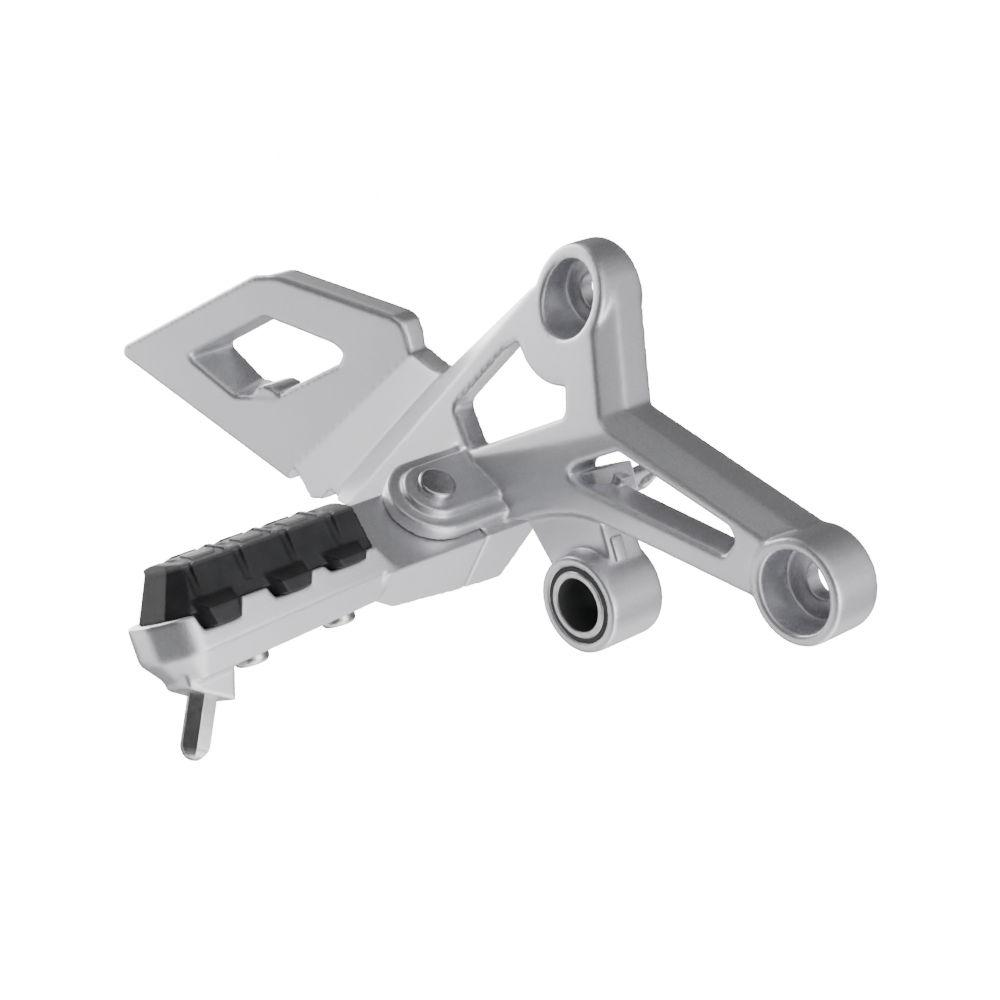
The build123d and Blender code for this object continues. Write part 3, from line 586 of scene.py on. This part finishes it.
@dataclass
class Moulding:
    """A cast or moulded node rebuilt with the soft edges that its mould leaves."""

    MERGE = 0.002 * MM
    SOFTNESS = 0.5

    node: str
    body: Body
    slot: Slot
    finish: Finish
    grid: float
    passes: int
    kept: float
    bores: tuple[Turning, ...] = ()
    softer: Callable[[Vector], bool] | None = None
    softer_passes: int = 0

    def build(self) -> None:
        """Make the piece and let it stand for its node."""
        cast = self.softened()
        if self.softer:
            soft = [vert for vert in cast.verts if self.softer(vert.co)]
            for _ in range(self.softer_passes):
                bmesh.ops.smooth_vert(
                    cast,
                    verts=soft,
                    factor=self.SOFTNESS,
                    use_axis_x=True,
                    use_axis_y=True,
                    use_axis_z=True,
                )
        self.ream(cast)
        piece = add_piece(self.node + "_cast", cast, self.finish.build(), self.body)
        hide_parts(self.node)

    def merged(self) -> bpy.types.Object:
        """Copy the node's triangles into a new object and join them.

        Returns:
            A helper object, which the caller removes.
        """
        shape = bmesh.new()
        shape.from_mesh(bpy.data.objects[self.node].data)
        bmesh.ops.remove_doubles(shape, verts=shape.verts, dist=self.MERGE)
        mesh = bpy.data.meshes.new(self.node + "_form")
        shape.to_mesh(mesh)
        shape.free()
        form = bpy.data.objects.new(self.node + "_form", mesh)
        bpy.context.collection.objects.link(form)
        return form

    def softened(self) -> bmesh.types.BMesh:
        """Remesh the node, smooth it and thin it.

        Returns:
            The softened mesh.
        """
        form = self.merged()
        grid = form.modifiers.new("grid", "REMESH")
        grid.mode = "VOXEL"
        grid.voxel_size = self.grid
        soften = form.modifiers.new("soften", "SMOOTH")
        soften.factor = self.SOFTNESS
        soften.iterations = self.passes
        thin = form.modifiers.new("thin", "DECIMATE")
        thin.ratio = self.kept
        graph = bpy.context.evaluated_depsgraph_get()
        baked = bpy.data.meshes.new_from_object(form.evaluated_get(graph))
        cast = bmesh.new()
        cast.from_mesh(baked)
        source = form.data
        bpy.data.objects.remove(form)
        bpy.data.meshes.remove(source)
        bpy.data.meshes.remove(baked)
        return cast

    def ream(self, cast: bmesh.types.BMesh) -> None:
        """Open the bores to their true radius again.

        Args:
            cast: The softened mesh.
        """
        for bore in self.bores:
            for vert in cast.verts:
                out = bore.axis.away(vert.co)
                if 0.0 < out.length < bore.radius + bore.lip:
                    vert.co += out.normalized() * (bore.radius - out.length)


@dataclass(frozen=True)
class Dressing:
    """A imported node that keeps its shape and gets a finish."""

    node: str
    slot: Slot
    finish: Finish

    def build(self) -> None:
        """Give the node its own material."""
        node = bpy.data.objects[self.node]
        material = self.finish.build()
        node.data.materials.clear()
        node.data.materials.append(material)
        log.info("%s: %s", self.node, self.finish.name)


@dataclass
class Assembly:
    """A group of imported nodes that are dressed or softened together."""

    dressings: list[Dressing] = field(default_factory=list)
    mouldings: list[Moulding] = field(default_factory=list)

    def build(self) -> None:
        """Dress the nodes and soften the mouldings."""
        for part in (*self.dressings, *self.mouldings):
            part.build()


def off_hinge(point: Vector) -> bool:
    """Tell if a point is clear of the machined hinge housing."""
    housing_radius = 19.0 * MM
    return HINGE.away(point).length > housing_radius


def at_tip(point: Vector) -> bool:
    """Tell if a point is at the carrier's outer tip."""
    tip_from = -150.0 * MM
    return point.y < tip_from


@dataclass
class BracketSide(Assembly):
    """The casting that bolts to the motorcycle, with what is pressed or pinned in it.

    The ledge's outlines and ends, and the rib's centre and size, are in millimetres.
    """

    sleeve_bore: float = 8.4 * MM
    bolt_radius: float = 5.5 * MM
    bolt_lip: float = 1.0 * MM
    upper_face: float = 11.4 * MM
    front_face: float = 16.0 * MM
    pivot_face: float = 15.5 * MM
    ledge_front: Outline = ((-8.0, -50.9), (0.5, -50.9), (0.5, -56.4), (-3.0, -54.6))
    ledge_back: Outline = ((-8.0, -50.9), (8.3, -50.9), (8.3, -60.6), (-3.0, -54.6))
    ledge_from: float = -27.0
    ledge_to: float = -17.0
    ledge_round: float = 0.7 * MM
    rib_centre: Place = (0.4, -25.6, -75.5)
    rib_size: Place = (3.2, 4.6, 7.6)
    rib_round: float = 0.5 * MM

    def __post_init__(self) -> None:
        """Choose the finishes."""
        seal = MouldedRubber("seal rubber", rough=0.4)
        # The sleeve's finish paints shade into its bore.
        sleeve = TurnedSteel(
            "sleeve steel",
            PIVOT,
            (0.55, 0.55, 0.56, 1.0),
            (0.44, 0.44, 0.45, 1.0),
            smooth=0.3,
            rough=0.45,
            bore_radius=self.sleeve_bore,
        )
        pin = TurnedSteel(
            "pin steel", HINGE, (0.56, 0.56, 0.58, 1.0), (0.50, 0.50, 0.52, 1.0), smooth=0.27, rough=0.30
        )
        washer = TurnedSteel("washer plate", HINGE, (0.6, 0.6, 0.58, 1.0))
        clip = TurnedSteel("clip plate", HINGE, (0.55, 0.55, 0.55, 1.0))
        wire = TurnedSteel("drawn wire", HINGE, (0.3, 0.3, 0.3, 1.0), (0.2, 0.2, 0.2, 1.0))
        self.dressings = [
            Dressing("pivot_sleeve", Slot.SLEEVE, sleeve),
            Dressing("pivot_seal_outer", Slot.RUBBER, seal),
            Dressing("pivot_seal_inner", Slot.RUBBER, seal),
            Dressing("hinge_pin", Slot.PIN, pin),
            Dressing("pin_washer", Slot.HARDWARE, washer),
            Dressing("pin_clip", Slot.HARDWARE, clip),
            Dressing("return_spring", Slot.SPRING, wire),
        ]
        faces = (
            Turning(UPPER_BOLT, self.upper_face),
            Turning(FRONT_BOLT, self.front_face),
            Turning(PIVOT, self.pivot_face),
        )
        bolts = (Turning(bolt, self.bolt_radius, self.bolt_lip) for bolt in (UPPER_BOLT, FRONT_BOLT))
        casting = Moulding(
            "bracket_casting",
            Body.BRACKET,
            Slot.CAST,
            SatinSilver(turned=faces),
            grid=0.6 * MM,
            passes=3,
            kept=0.47,
            bores=(PIN_BORE, *bolts),
            softer=off_hinge,
            softer_passes=7,
        )
        self.mouldings = [casting]

    def build(self) -> None:
        """Dress the nodes and add the ledge behind the slot and the rib by the pivot."""
        super().build()
        finish = SatinSilver("satin silver ledge").build()
        ends = ((self.ledge_from, self.ledge_front), (self.ledge_to, self.ledge_back))
        near, far = ([Vector((x, y, z)) * MM for x, z in outline] for y, outline in ends)
        add_piece("slot_ledge", prism(near, far, self.ledge_round), finish, Body.BRACKET)
        rib = bmesh.new()
        centre, size = Vector(self.rib_centre) * MM, Vector(self.rib_size) * MM
        add_block(rib, centre, size, Matrix.Identity(3), self.rib_round)
        add_piece("pivot_rib", rib, finish, Body.BRACKET)


@dataclass
class PegSide(Assembly):
    """The folding carrier with its rubber pad, screws and feeler."""

    plate: Colour = (0.66, 0.66, 0.65, 1.0)
    dull: Colour = (0.52, 0.52, 0.5, 1.0)

    def __post_init__(self) -> None:
        """Choose the finishes."""
        self.dressings = [
            Dressing("pad_insert", Slot.PIN, TurnedSteel("insert steel", OUTER_SCREW)),
            Dressing("pad_screw_outer", Slot.HARDWARE, self.plated("outer screw", OUTER_SCREW)),
            Dressing("pad_screw_inner", Slot.HARDWARE, self.plated("inner screw", INNER_SCREW)),
            Dressing("screw_washer_outer", Slot.HARDWARE, self.plated("outer washer", OUTER_SCREW)),
            Dressing("screw_washer_inner", Slot.HARDWARE, self.plated("inner washer", INNER_SCREW)),
        ]
        carrier = Moulding(
            "peg_carrier",
            Body.PEG,
            Slot.CAST,
            SatinSilver("satin silver carrier"),
            grid=0.5 * MM,
            passes=12,
            kept=0.5,
            bores=(PIN_BORE,),
            softer=at_tip,
            softer_passes=14,
        )
        # The pad's crown is painted a lighter grey as a highlight.
        rubber = MouldedRubber(crown_highlight=(0.14, 0.14, 0.15, 1.0), highlight_from=-40.2 * MM)
        pad = Moulding("rubber_pad", Body.PEG, Slot.RUBBER, rubber, grid=0.4 * MM, passes=3, kept=0.5)
        self.mouldings = [carrier, pad]

    def plated(self, name: str, axis: Axis) -> TurnedSteel:
        """Bright plated finish of the pad's screws and washers."""
        return TurnedSteel(name, axis, self.plate, self.dull)

    def build(self) -> None:
        """Dress the nodes and add the feeler and the tread."""
        super().build()
        Feeler().build()
        Tread().build()


@dataclass
class Feeler:
    """Hexagonal stud with a rounded tip, screwed in under the carrier's tip.

    The tip's steps are shares of the stud's length and of its corners' radius.
    """

    head: Place = (-52.0 * MM, -146.4 * MM, -78.5 * MM)
    down: Place = (0.0, -0.494, -0.8695)
    sides: int = 6
    apothem: float = 4.0 * MM
    length: float = 18.5 * MM
    sink: float = 10.0 * MM
    shoulder: float = 0.2 * MM
    neck: float = 0.7
    tip: Outline = ((0.78, 1.0), (0.85, 0.9), (0.91, 0.74), (0.96, 0.52), (0.99, 0.25))
    turned: float = -24.0
    sharp_from: float = 35.0

    def build(self) -> None:
        """Make the stud and let it stand for its node."""
        shape = self.stud()
        bmesh.ops.transform(shape, verts=shape.verts, matrix=self.seat())
        finish = TurnedSteel(
            "feeler plate",
            Axis(self.head, self.down),
            (0.62, 0.62, 0.62, 1.0),
            (0.52, 0.52, 0.52, 1.0),
            smooth=0.28,
            rough=0.36,
        )
        piece = add_piece("feeler_stud", shape, finish.build(), Body.PEG)
        piece.data.set_sharp_from_angle(angle=math.radians(self.sharp_from))
        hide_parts("banking_feeler")

    def stud(self) -> bmesh.types.BMesh:
        """Draw the stud upright at the origin, from its sunk neck down to its tip.

        Returns:
            The stud's bmesh.
        """
        corner = self.apothem / math.cos(math.pi / self.sides)
        steps = [(-self.shoulder, self.neck), (-self.shoulder, 1.0)]
        steps += [(share * self.length, radius) for share, radius in self.tip]
        shape = bmesh.new()
        bmesh.ops.create_circle(shape, cap_ends=True, segments=self.sides, radius=corner * self.neck)
        bmesh.ops.translate(shape, verts=shape.verts, vec=(0.0, 0.0, self.sink))
        shape.faces.ensure_lookup_table()
        end, depth, wide = shape.faces[0], -self.sink, self.neck
        for deeper, wider in steps:
            grown = bmesh.ops.extrude_face_region(shape, geom=[end, *end.edges, *end.verts])["geom"]
            end = next(part for part in grown if isinstance(part, bmesh.types.BMFace))
            bmesh.ops.translate(shape, verts=end.verts, vec=(0.0, 0.0, depth - deeper))
            bmesh.ops.scale(shape, verts=end.verts, vec=(wider / wide, wider / wide, 1.0))
            depth, wide = deeper, wider
        return shape

    def seat(self) -> Matrix:
        """Place of the stud in its boss.

        Returns:
            The matrix from the drawn stud to the part.
        """
        along = Vector(self.down).normalized()
        side = Vector((1.0, 0.0, 0.0))
        axes = Matrix((side, side.cross(along), -along)).transposed()
        half_side = 180.0 / self.sides
        turn = Matrix.Rotation(math.radians(self.turned - half_side), 3, "Z")
        return Matrix.Translation(self.head) @ (axes @ turn).to_4x4()


@dataclass
class Tread:
    """Raised islands, ribs and studs on both halves of the pad's crown, coloured light grey as a painted
    highlight.
    """

    centre_x: float = -52.0 * MM
    crown_z: float = -38.6 * MM
    side_drop: float = 2.4 * MM
    half_width: float = 10.0 * MM
    rise: float = 0.45 * MM
    grooves: tuple[float, ...] = (-145.0 * MM, -127.5 * MM, -110.4 * MM, -93.2 * MM)
    edge_round: float = 0.35 * MM
    island_out: float = 4.6 * MM
    island_shift: float = 0.8 * MM
    island_gap: float = 8.6 * MM
    island_width: float = 5.4 * MM
    island_height: float = 1.6 * MM
    rib_out: float = 4.4 * MM
    rib_offset: float = 2.6 * MM
    rib_size: Place = (8.6 * MM, 1.0 * MM, 1.7 * MM)
    stud_out: float = 8.9 * MM
    stud_offset: float = 2.0 * MM
    stud_size: Place = (1.5 * MM, 1.2 * MM, 2.2 * MM)
    stud_round: float = 0.45 * MM

    def build(self) -> None:
        """Set the islands, ribs and studs."""
        # Painted highlight: the base and dust greys here are far lighter than the pad's rubber and stand for
        # the highlights on the raised bars and studs.
        finish = MouldedRubber(
            "painted highlight tread", base=(0.16, 0.16, 0.17, 1.0), dust_and_highlight=(0.24, 0.24, 0.25, 1.0), shine=0.5, rough=0.42
        )
        shape = bmesh.new()
        for side in (-1.0, 1.0):
            for low, high in zip(self.grooves, self.grooves[1:]):
                island = (self.island_width, high - low - self.island_gap, self.island_height)
                middle = (low + high) / 2.0 - self.island_shift
                self.add(shape, side * self.island_out, middle, island, self.edge_round)
                self.add(shape, side * self.rib_out, high - self.rib_offset, self.rib_size, self.edge_round)
            for groove in self.grooves:
                past = groove + self.stud_offset
                self.add(shape, side * self.stud_out, past, self.stud_size, self.stud_round)
        add_piece("pad_tread", shape, finish.build(), Body.PEG)

    def add(self, shape: bmesh.types.BMesh, x: float, y: float, size: Place, radius: float) -> None:
        """Add one rounded block that lies along the crown's slope.

        Args:
            shape: The tread's bmesh.
            x: Distance from the pad's middle.
            y: Lateral position.
            size: Width, length and height.
            radius: Radius of the edges.
        """
        crown = self.crown_z - self.side_drop * (x / self.half_width) ** 2
        slope = math.atan(2.0 * self.side_drop * x / self.half_width**2)
        centre = Vector((self.centre_x + x, y, crown - size[2] / 2.0 + self.rise))
        add_block(shape, centre, Vector(size), Matrix.Rotation(slope, 3, "Y"), radius)


def sight(azimuth: float, elevation: float) -> Vector:
    """Direction from the part towards a light or the camera.

    Args:
        azimuth: Degrees from the front, positive to the right.
        elevation: Degrees above the horizon.

    Returns:
        The unit direction.
    """
    turn, rise = math.radians(azimuth), math.radians(elevation)
    return Vector((math.sin(turn) * math.cos(rise), -math.cos(turn) * math.cos(rise), math.sin(rise)))


@dataclass(frozen=True)
class Softbox:
    """Square area light that faces the part."""

    name: str
    azimuth: float
    elevation: float
    watts: float
    size: float = 0.55
    reach: float = 0.8
    middle: Place = (-0.04, -0.06, -0.04)

    def build(self) -> None:
        """Hang the light, unseen by the camera."""
        data = bpy.data.lights.new(self.name, "AREA")
        data.size = self.size
        data.energy = self.watts
        light = bpy.data.objects.new(self.name, data)
        bpy.context.collection.objects.link(light)
        out = sight(self.azimuth, self.elevation)
        place = Matrix.Translation(Vector(self.middle) + out * self.reach)
        light.matrix_world = place @ out.to_track_quat("Z", "Y").to_matrix().to_4x4()
        light.visible_camera = False


SOFTBOXES = (
    Softbox("left behind", -110.0, 20.0, 6.2),
    Softbox("right", 100.0, -25.0, 4.6),
    Softbox("upper left", -80.0, 45.0, 5.0),
    Softbox("low left", -40.0, -20.0, 1.4),
    Softbox("below", 120.0, -75.0, 2.4),
    Softbox("right level", 80.0, 5.0, 1.6),
    Softbox("low right", 65.0, -50.0, 1.5),
    Softbox("low front", -20.0, -65.0, 1.3),
    Softbox("left front", -60.0, 10.0, 1.9),
    Softbox("right behind", 110.0, 25.0, 1.0),
    Softbox("top", -130.0, 65.0, 0.8),
    Softbox("upper right", 55.0, 40.0, 0.9),
    Softbox("below behind", -160.0, -55.0, 0.7),
    Softbox("far right", 130.0, -5.0, 0.5),
    Softbox("low behind", -125.0, -30.0, 0.4),
)


@dataclass
class Studio:
    """Pale floor, soft light and the camera at the photograph's angle.

    The camera's aim, shifts, distance and sensor are in millimetres, its near and far
    limits and the floor's sizes in metres.
    """

    azimuth: float = 49.94
    elevation: float = 5.0
    roll: float = -16.22
    focal_px: float = 2424.0
    image_px: float = 1000.0
    sensor: float = 36.0
    shift_x: float = 19.8
    shift_y: float = 59.9
    distance: float = 724.8
    aim: Place = (0.0, -17.0, 0.0)
    near: float = 0.01
    far: float = 20.0
    floor_z: float = -0.90
    floor_half: float = 30.0
    floor_tone: Colour = (0.95, 0.95, 0.95, 1.0)
    floor_rough: float = 0.9
    floor_glow: float = 0.10
    sky_glow: float = 0.08
    white: float = 16.0
    glow_tone: Colour = (1.0, 1.0, 1.0, 1.0)

    def axes(self) -> tuple[Vector, Vector, Vector]:
        """Camera axes in the part's frame.

        Returns:
            Image right, image up and the direction from the part to the camera.
        """
        turn, roll = math.radians(self.azimuth), math.radians(self.roll)
        back = sight(self.azimuth, self.elevation)
        level = Vector((math.cos(turn), math.sin(turn), 0.0))
        upward = back.cross(level)
        right = level * math.cos(roll) + upward * math.sin(roll)
        up = upward * math.cos(roll) - level * math.sin(roll)
        return right, up, back

    def camera(self) -> None:
        """Place the camera."""
        right, up, back = self.axes()
        data = bpy.data.cameras.new("camera")
        data.sensor_width = self.sensor
        data.lens = self.focal_px / self.image_px * self.sensor
        data.clip_start = self.near
        data.clip_end = self.far
        camera = bpy.data.objects.new("camera", data)
        bpy.context.collection.objects.link(camera)
        centre = Vector(self.aim) - right * self.shift_x - up * self.shift_y + back * self.distance
        turn = Matrix((right, up, back)).transposed()
        camera.matrix_world = Matrix.Translation(centre * MM) @ turn.to_4x4()
        bpy.context.scene.camera = camera

    def floor(self) -> None:
        """Lay a plain pale floor below the part."""
        shape = bmesh.new()
        bmesh.ops.create_grid(shape, x_segments=1, y_segments=1, size=self.floor_half)
        bmesh.ops.translate(shape, verts=shape.verts, vec=(0.0, 0.0, self.floor_z))
        mesh = bpy.data.meshes.new("floor")
        shape.to_mesh(mesh)
        shape.free()
        floor = bpy.data.objects.new("floor", mesh)
        bpy.context.collection.objects.link(floor)
        pale = NodePaint("pale floor")
        path = pale.tree.nodes.new("ShaderNodeLightPath").outputs["Is Camera Ray"]
        pale.set(Socket.COLOUR, self.floor_tone)
        pale.set(Socket.ROUGHNESS, self.floor_rough)
        pale.set(Socket.GLOW_COLOUR, self.glow_tone)
        pale.set(Socket.GLOW, pale.spread(path, 0.0, 1.0, self.floor_glow, self.white))
        mesh.materials.append(pale.material)

    def sky(self) -> None:
        """White surroundings for the camera, and softer light for the part."""
        world = bpy.data.worlds.new("studio")
        world.use_nodes = True
        nodes, links = world.node_tree.nodes, world.node_tree.links
        path = nodes.new("ShaderNodeLightPath")
        glow = nodes.new("ShaderNodeMapRange")
        links.new(path.outputs["Is Camera Ray"], glow.inputs["Value"])
        glow.inputs["To Min"].default_value = self.sky_glow
        glow.inputs["To Max"].default_value = self.white
        back = nodes["Background"]
        back.inputs["Color"].default_value = self.glow_tone
        links.new(glow.outputs["Result"], back.inputs["Strength"])
        bpy.context.scene.world = world

    def build(self) -> None:
        """Set up the whole studio."""
        self.camera()
        self.floor()
        self.sky()
        for softbox in SOFTBOXES:
            softbox.build()
        log.info("studio: floor, soft lights and camera")


def main() -> None:
    """Dress the part and set up the studio."""
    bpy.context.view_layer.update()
    for group in (BracketSide(), PegSide(), Studio()):
        group.build()


if __name__ == "__main__":
    main()
